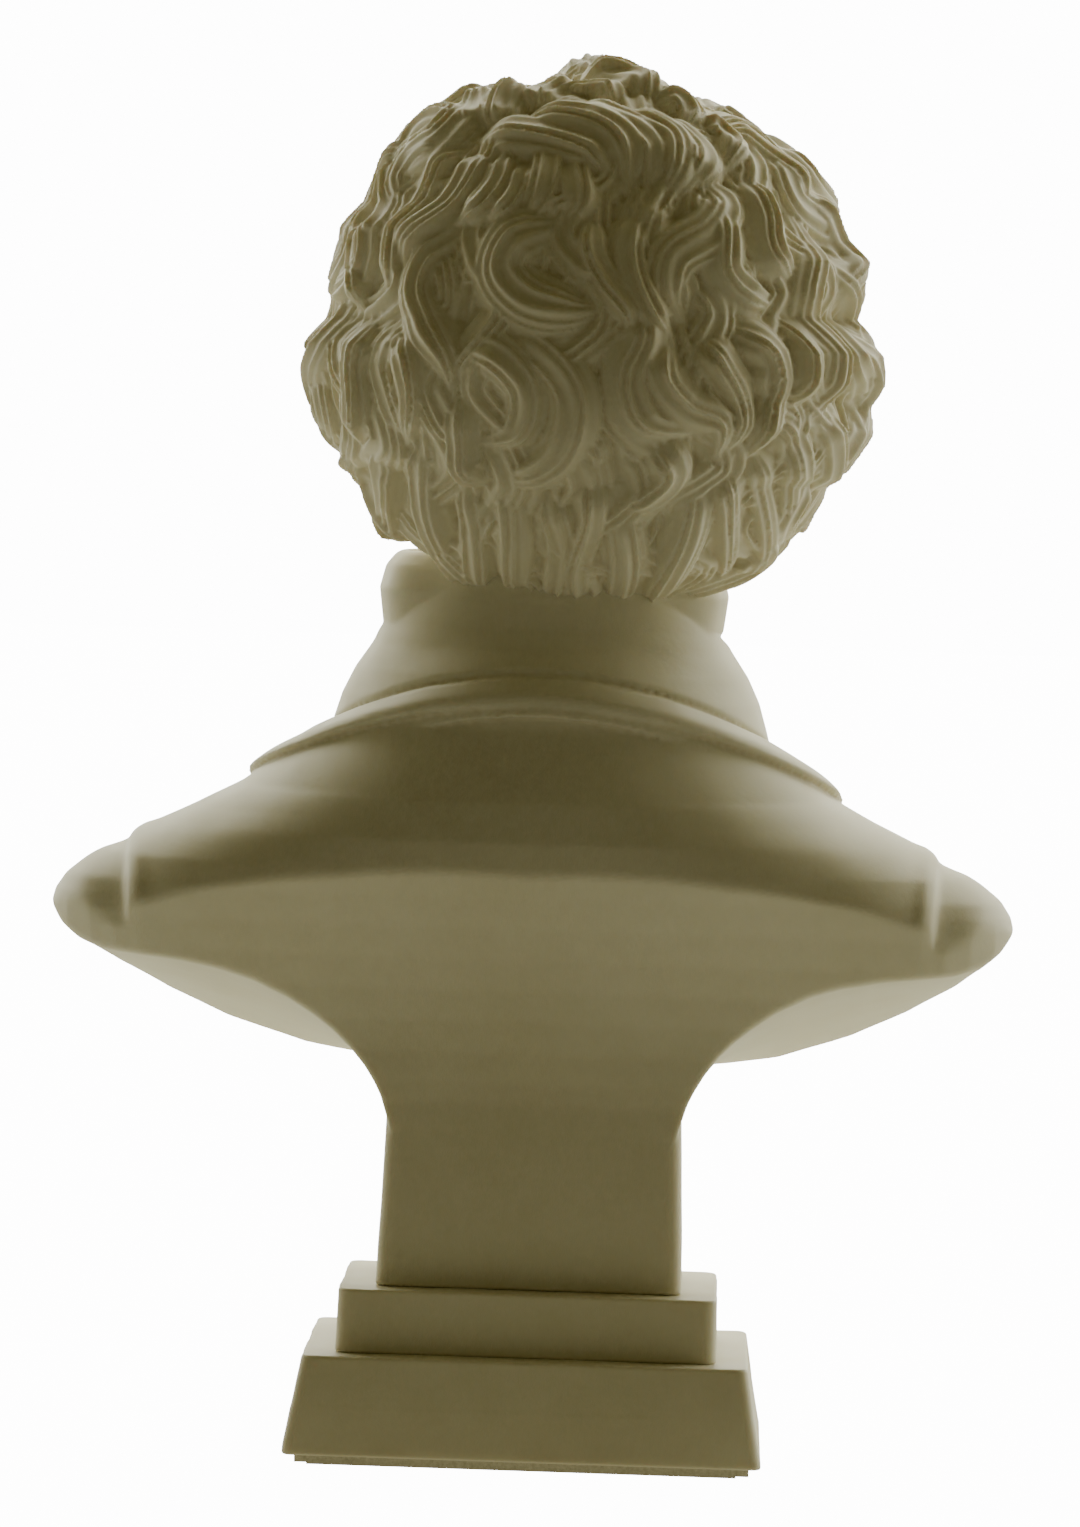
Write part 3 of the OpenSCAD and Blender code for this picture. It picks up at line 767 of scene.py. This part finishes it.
def globe(clay, centre, axes, rows=28, cols=40):
    """An ellipsoid."""
    clay.add_rings(directions(rows, cols) * np.array(axes) + np.array(centre))


def button(clay, x, z, radius):
    """A domed button on the chest, at x and a height."""
    depth = float(front_skin(np.array([x]), np.array([z]))[0])
    globe(clay, (x, -depth - 0.9, z), (radius, 1.4, radius))


def neckcloth(clay):
    """Cloth wound round the shirt collar in front, tied in a small bow."""
    angle = np.linspace(96, 264, 200)[:, None]
    s = np.linspace(0, 2 * pi, 60, endpoint=False)[None, :]
    folds = 0.5 * np.sin(3 * s + np.radians(angle) * 1.5)
    r = 24.4 + (2.2 + 0.35 * folds) * np.cos(s)
    z = 122.4 - 2.4 * ramp(140, 180, np.minimum(angle, 360 - angle)) + 6.8 * np.sin(s)
    a = np.radians(angle)
    clay.add_rings(np.stack([COLLAR[0] + r * np.sin(a), COLLAR[1] + r * np.cos(a), z + 0 * a], axis=-1))
    x, y, z = COLLAR[0], COLLAR[1] - 28.6, 117.0
    globe(clay, (x, y, z), (3.0, 2.8, 3.6))
    for side in (-1, 1):
        for k, (drop, reach) in enumerate([(1.5, 13.5), (-3.5, 11.5)]):
            line = np.array(
                [(0, 0, 0), (0.35, -1.6, drop * 0.6), (0.7, -0.6, drop), (1.0, 1.8, drop * 0.7 - 1.0)]
            )
            path = spline(line * np.array([side * reach, 1, 1]), 36)
            width = np.interp(np.linspace(0, 1, 36), [0, 0.25, 0.7, 1], [1.6, 3.4, 4.2, 1.4])
            loop = np.linspace(0, 2 * pi, 28, endpoint=False)
            crease = 0.35 * np.sin(3 * loop + k)
            ring = np.stack([0 * loop, (1.3 + crease) * np.cos(loop), np.sin(loop)], axis=-1)
            scale = np.stack([np.ones(36), np.ones(36), width], axis=-1)
            clay.add_rings(path[:, None, :] + ring[None] * scale[:, None, :] + np.array([x, y, z]))


# Layers on the sitter's left of the chest: (thickness, outer path, inner path)
LAPEL = (
    2.9,
    [(27, 104), (33, 100), (32, 94), (25, 86), (14, 76), (8, 70)],
    [(20, 116), (17, 110), (14, 102), (11, 92), (8, 80), (6, 70)],
)
COLLAR_FALL = (
    3.1,
    [(38, 109), (35, 105.5), (31, 103.5), (26.5, 103)],
    [(26, 117), (23, 114.5), (19.5, 111.5), (16.5, 109)],
)
WAISTCOAT = (
    1.2,
    [(22, 113), (18, 105), (15, 94), (12, 80), (9, 64)],
    [(12, 116), (8, 110), (4, 103), (0.5, 94), (0.5, 64)],
)
COAT_FRONT = (
    1.8,
    [(26, 86), (22, 78), (19, 70), (17, 61.5)],
    [(6.5, 80), (4.2, 74), (4.6, 67), (6.5, 60.5)],
)


def mirrored(path, about=0.8):
    """The same path on the sitter's right side."""
    return [(2 * about - x, z) for x, z in path]


def chest(clay):
    """Waistcoat, coat fronts, lapels and collar falls, with their buttons."""
    for thick, outer, inner in (WAISTCOAT, COAT_FRONT, LAPEL, COLLAR_FALL):
        front_panel(clay, mirrored(outer), mirrored(inner), thick)
        front_panel(clay, outer, inner, thick + 0.25)
    for z in (96, 89, 82):
        button(clay, 2.6, z, 1.5)
    button(clay, 10.0, 70, 2.1)


def carved_torso():
    """Coat, collars, neckcloth, waistcoat and shaft in one skin."""
    clay = Clay()
    rows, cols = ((420, 800))
    d = directions(rows, cols)
    radius = march(CENTRE, d, torso_gap, 2, 120)
    skin = CENTRE + d * radius[..., None]
    clay.add_rings(skin + d * waviness(skin, 0.14)[..., None])
    shaft(clay)
    folded_band(clay)
    coat_collar(clay)
    shirt_collar(clay)
    neckcloth(clay)
    chest(clay)
    obj = new_object("carved_torso", clay.mesh("carved_torso"))
    fuse(obj, 0.42, 2)
    return obj


# ---------------------------------------------------------------- the plinth stones


def stone(name, low, high, batter, corner, edge, rng):
    """A plinth stone: flat beds, leaning sides, softened edges and the slight unevenness of handwork."""
    w, d = high[0] - low[0], high[1] - low[1]
    steps = np.linspace(0, pi / 2, 7)
    levels = [(low[2] + edge * (1 - cos(a)), edge * (1 - sin(a))) for a in steps]
    levels += [(z, 0.0) for z in np.linspace(low[2] + edge, high[2] - edge, 34)[1:-1]]
    levels += [(high[2] - edge * (1 - sin(a)), edge * (1 - cos(a))) for a in steps]
    rings = []
    for z, inset in levels:
        inward = inset + batter * (z - low[2]) / (high[2] - low[2])
        outline = rounded_rect(w - 2 * inward, d - 2 * inward, max(corner - inset, 0.3), 40, 10)
        rings.append(np.column_stack([outline, np.full(len(outline), z)]))
    top, bottom = rings[-1], rings[0]
    fill = np.array([1, 1, 0]) * np.linspace(0.985, 0.04, 24)[:, None, None]
    beds = np.array([0, 0, 1])
    rings = [bottom * f + bottom * beds for f in fill[::-1]] + rings + [top * f + top * beds for f in fill]
    rings = np.array(rings)
    out = unit(rings * np.array([1, 1, 0]) + 1e-9)
    side = ramp(low[2], low[2] + 1.5, rings[..., 2])
    uneven = waviness(rings + rng.uniform(0, 40, 3), 0.16) + waviness(rings * 2.7 + 9, 0.07)
    rings = rings + out * (uneven * side - 0.12)[..., None]
    rings[..., 2] += np.where(rings[..., 2] > (low[2] + high[2]) / 2, waviness(rings * 1.3, 0.06) - 0.08, 0)
    clay = Clay()
    clay.add_rings(rings)
    mesh = clay.mesh(name)
    mesh.shade_smooth()
    return new_object(name, mesh)


def plinth():
    """The step and the block."""
    rng = np.random.default_rng(5)
    step = stone("step_stone", STEP_LOW - np.array([0, 0, JOINT]), STEP_HIGH, 0.3, 2.3, 0.45, rng)
    block = stone("block_stone", BLOCK_LOW, BLOCK_HIGH, 2.6, 1.8, 0.5, rng)
    return step, block


# ---------------------------------------------------------------- materials


def node(mat, kind, **values):
    """A new shader node with the given settings."""
    n = mat.node_tree.nodes.new(kind)
    for key, value in values.items():
        setattr(n, key, value)
    return n


def new_material(name):
    """A material, its main shader and its links."""
    mat = bpy.data.materials.new(name)
    mat.use_nodes = True
    return mat, mat.node_tree.nodes["Principled BSDF"], mat.node_tree.links


def noise(mat, scale, detail, roughness=0.55):
    """Noise in the object's own coordinates, in metres."""
    where = node(mat, "ShaderNodeTexCoord")
    n = node(mat, "ShaderNodeTexNoise")
    n.inputs["Scale"].default_value = scale
    n.inputs["Detail"].default_value = detail
    n.inputs["Roughness"].default_value = roughness
    mat.node_tree.links.new(where.outputs["Object"], n.inputs["Vector"])
    return n


def colour_ramp(mat, source, stops):
    """Colours spread over a source's values, as (position, colour) stops."""
    n = node(mat, "ShaderNodeValToRGB")
    while len(n.color_ramp.elements) < len(stops):
        n.color_ramp.elements.new(0.5)
    for element, (position, colour) in zip(n.color_ramp.elements, stops):
        element.position = position
        element.color = (*colour, 1)
    mat.node_tree.links.new(source, n.inputs["Fac"])
    return n


def add_bump(mat, bsdf, source, strength, distance):
    """Fine relief on the surface, driven by a source."""
    n = node(mat, "ShaderNodeBump")
    n.inputs["Strength"].default_value = strength
    n.inputs["Distance"].default_value = distance
    mat.node_tree.links.new(source, n.inputs["Height"])
    mat.node_tree.links.new(n.outputs["Normal"], bsdf.inputs["Normal"])


IVORY_DEEP = (0.79, 0.745, 0.58)
IVORY_PALE = (0.85, 0.815, 0.67)
# Painted shade: the darker, warmer colour multiplied into the marble in its clefts and hollows
CLEFT_SHADE = (0.66, 0.57, 0.36)


def marble_material():
    """Ivory statuary marble: faint clouds, a fine grain in relief and painted shade, darker and warmer, in
    the hollows.
    """
    mat, bsdf, links = new_material("ivory_marble")
    clouds = noise(mat, 28, 4)
    stone_tone = colour_ramp(mat, clouds.outputs["Fac"], [(0.3, IVORY_DEEP), (0.7, IVORY_PALE)])
    # Painted shade: the stone's colour is multiplied towards a darker, warmer tone by the hollow attribute,
    # most deeply in clefts
    hollow = node(mat, "ShaderNodeAttribute", attribute_name="hollow")
    cleft_shade = node(mat, "ShaderNodeMix", data_type="RGBA", blend_type="MULTIPLY")
    cleft_shade.inputs["B"].default_value = (*CLEFT_SHADE, 1)
    links.new(hollow.outputs["Fac"], cleft_shade.inputs["Factor"])
    links.new(stone_tone.outputs["Color"], cleft_shade.inputs["A"])
    links.new(cleft_shade.outputs["Result"], bsdf.inputs["Base Color"])
    gloss = colour_ramp(mat, noise(mat, 120, 3).outputs["Fac"], [(0.3, (0.42,) * 3), (0.7, (0.52,) * 3)])
    links.new(gloss.outputs["Color"], bsdf.inputs["Roughness"])
    bsdf.inputs["Subsurface Weight"].default_value = 0.25
    bsdf.inputs["Subsurface Radius"].default_value = (1.0, 0.75, 0.45)
    bsdf.inputs["Subsurface Scale"].default_value = 0.0016
    grain = noise(mat, 900, 5, 0.6)
    add_bump(mat, bsdf, grain.outputs["Fac"], 0.12, 0.0002)
    return mat


def metal_material(name, low, high, roughness):
    """Plain metal, unevenly bright between two tones."""
    mat, bsdf, links = new_material(name)
    tone = colour_ramp(mat, noise(mat, 300, 4).outputs["Fac"], [(0.3, low), (0.7, high)])
    links.new(tone.outputs["Color"], bsdf.inputs["Base Color"])
    bsdf.inputs["Metallic"].default_value = 1.0
    bsdf.inputs["Roughness"].default_value = roughness
    add_bump(mat, bsdf, noise(mat, 1600, 3).outputs["Fac"], 0.15, 0.0001)
    return mat


def dull_material(name, low, high, grain_size, depth):
    """A matt, grainy material between two tones."""
    mat, bsdf, links = new_material(name)
    tone = colour_ramp(mat, noise(mat, grain_size, 5).outputs["Fac"], [(0.35, low), (0.65, high)])
    links.new(tone.outputs["Color"], bsdf.inputs["Base Color"])
    bsdf.inputs["Roughness"].default_value = 0.95
    add_bump(mat, bsdf, noise(mat, grain_size * 2, 4).outputs["Fac"], 0.5, depth)
    return mat


def mark_hollows(obj, passes, scale_mm):
    """Stores how far each point lies below its smoothed surroundings, from 0 on swells to 1 in clefts, for
    the painted shade in the marble's colour.
    """
    mesh = obj.data
    count = len(mesh.vertices)
    points = np.empty(count * 3)
    mesh.vertices.foreach_get("co", points)
    points = points.reshape(-1, 3) / MM
    normals = np.empty(count * 3)
    mesh.vertex_normals.foreach_get("vector", normals)
    normals = normals.reshape(-1, 3)
    ends = np.empty(len(mesh.edges) * 2, dtype=np.int64)
    mesh.edges.foreach_get("vertices", ends)
    a, b = ends.reshape(-1, 2).T
    weight = np.maximum(np.bincount(a, minlength=count) + np.bincount(b, minlength=count), 1)
    smoothed = points.copy()
    for _ in range(passes):
        total = np.empty_like(smoothed)
        for axis in range(3):
            column = smoothed[:, axis]
            total[:, axis] = np.bincount(a, column[b], count) + np.bincount(b, column[a], count)
        smoothed = 0.5 * smoothed + 0.5 * total / weight[:, None]
    depth = np.sum((smoothed - points) * normals, axis=1)
    layer = mesh.attributes.new("hollow", "FLOAT", "POINT")
    layer.data.foreach_set("value", np.clip(depth / scale_mm, 0, 1).astype(np.float32))


def dress_frame(mat):
    """Gives the carried-over CAD nodes their materials: bedding cement, steel, brass and felt."""
    steel = metal_material("steel", (0.42, 0.42, 0.43), (0.58, 0.58, 0.59), 0.35)
    brass = metal_material("brass", (0.58, 0.42, 0.16), (0.72, 0.54, 0.24), 0.32)
    cement = dull_material("cement", (0.55, 0.53, 0.48), (0.72, 0.70, 0.64), 700, 0.0003)
    felt = dull_material("felt", (0.60, 0.57, 0.46), (0.74, 0.71, 0.60), 1800, 0.0004)
    cover = {
        "shaft_bedding": cement, "step_bedding": cement, "felt_pad": felt, "tie_rod": steel,
        "tie_washer": steel, "tie_nut": steel, "neck_dowel": steel, "rod_anchor": brass,
        "shaft_pins": brass, "step_pins": brass,
    }
    for name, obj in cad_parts.items():
        for slot in obj.material_slots:
            slot.material = cover.get(name, mat)


# ---------------------------------------------------------------- the model


def place(obj, node_name, mat):
    """Gives a piece its material and hands it over in place of a CAD node."""
    obj.data.materials.clear()
    obj.data.materials.append(mat)
    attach(obj, "root")
    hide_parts(node_name)


# Rounds of smoothing that tell clefts from swells, for the painted shade in the clefts
HOLLOW_PASSES = 14


def build():
    """Makes the four visual pieces and dresses the CAD nodes that stay."""
    mat = marble_material()
    dress_frame(mat)
    head = carved_head()
    mark_hollows(head, HOLLOW_PASSES, 0.75)
    place(head, "head", mat)
    torso = carved_torso()
    mark_hollows(torso, HOLLOW_PASSES, 0.9)
    place(torso, "torso", mat)
    step, block = plinth()
    place(step, "plinth_step", mat)
    place(block, "plinth_block", mat)


# ---------------------------------------------------------------- camera, light and floor


CAMERA_EYE = Vector((-0.025, 1.2, 0.165))
CAMERA_AIM = Vector((0.001, 0, 0.1076))
CAMERA_ROLL = radians(1.8)


def add_camera():
    """A long lens almost straight behind the bust, level with its head and rolled slightly."""
    data = bpy.data.cameras.new("camera")
    data.lens = 181.3
    data.sensor_fit = "VERTICAL"
    data.sensor_height = 36
    cam = bpy.data.objects.new("camera", data)
    bpy.context.scene.collection.objects.link(cam)
    view = (CAMERA_AIM - CAMERA_EYE).to_track_quat("-Z", "Y")
    roll = Matrix.Rotation(CAMERA_ROLL, 4, "Z")
    cam.matrix_world = Matrix.Translation(CAMERA_EYE) @ view.to_matrix().to_4x4() @ roll
    bpy.context.scene.camera = cam


# Brightness at which a surface reads as pure white in the picture
WHITE = 14.0


def seen_or_lighting(tree, lighting):
    """A colour that is plain white to the camera's own rays and the lighting colour to all others."""
    path = tree.nodes.new("ShaderNodeLightPath")
    mix = tree.nodes.new("ShaderNodeMix")
    mix.data_type = "RGBA"
    mix.inputs["B"].default_value = (WHITE, WHITE, WHITE, 1)
    tree.links.new(path.outputs["Is Camera Ray"], mix.inputs["Factor"])
    tree.links.new(lighting, mix.inputs["A"])
    return mix.outputs["Result"]


def fade(tree, source, slope, offset, colours):
    """Colour that eases through three colours as source * slope + offset runs from 0 to 1."""
    level = tree.nodes.new("ShaderNodeMath")
    level.operation = "MULTIPLY_ADD"
    level.inputs[1].default_value = slope
    level.inputs[2].default_value = offset
    tone = tree.nodes.new("ShaderNodeValToRGB")
    tone.color_ramp.interpolation = "EASE"
    tone.color_ramp.elements.new(0.5)
    for element, colour in zip(tone.color_ramp.elements, colours):
        element.color = (*colour, 1)
    tree.links.new(source, level.inputs[0])
    tree.links.new(level.outputs["Value"], tone.inputs["Fac"])
    return tone.outputs["Color"]


# Light given off by the floor: behind the bust as the camera sees it, under it, and on the camera's side
GLOW = [(0.78, 0.77, 0.56), (0.27, 0.25, 0.15), (0.02, 0.016, 0.004)]


def add_floor():
    """White paper that glows behind and under the bust and fades towards the camera's side."""
    mesh = bpy.data.meshes.new("floor")
    mesh.from_pydata([(-4, -4, 0), (4, -4, 0), (4, 4, 0), (-4, 4, 0)], [], [(0, 1, 2, 3)])
    floor = new_object("floor", mesh)
    mat, bsdf, links = new_material("white_paper")
    tree = mat.node_tree
    where = node(mat, "ShaderNodeTexCoord")
    split = node(mat, "ShaderNodeSeparateXYZ")
    links.new(where.outputs["Object"], split.inputs["Vector"])
    glow = fade(tree, split.outputs["Y"], 1 / 0.2, 0.25, GLOW)
    links.new(seen_or_lighting(tree, glow), bsdf.inputs["Emission Color"])
    bsdf.inputs["Emission Strength"].default_value = 1.0
    bsdf.inputs["Base Color"].default_value = (0.2, 0.2, 0.19, 1)
    bsdf.inputs["Roughness"].default_value = 0.9
    mesh.materials.append(mat)


# Light of the surroundings: behind the bust as the camera sees it, at its sides, and on the camera's side
TENT = [(3.1, 3.06, 2.5), (0.7, 0.62, 0.29), (0.063, 0.054, 0.015)]


def add_world():
    """A bright tent behind the bust, falling to a dim warm room overhead and on the camera's side."""
    world = bpy.data.worlds.new("world")
    world.use_nodes = True
    tree = world.node_tree
    background = tree.nodes["Background"]
    where = tree.nodes.new("ShaderNodeTexCoord")
    facing = tree.nodes.new("ShaderNodeVectorMath")
    facing.operation = "DOT_PRODUCT"
    facing.inputs[1].default_value = (0.12, 0.95, 0.15)
    tree.links.new(where.outputs["Generated"], facing.inputs[0])
    tent = fade(tree, facing.outputs["Value"], 1 / 0.4, 0.98, TENT)
    tree.links.new(seen_or_lighting(tree, tent), background.inputs["Color"])
    background.inputs["Strength"].default_value = 1.0
    bpy.context.scene.world = world


build()
add_floor()
add_world()
add_camera()
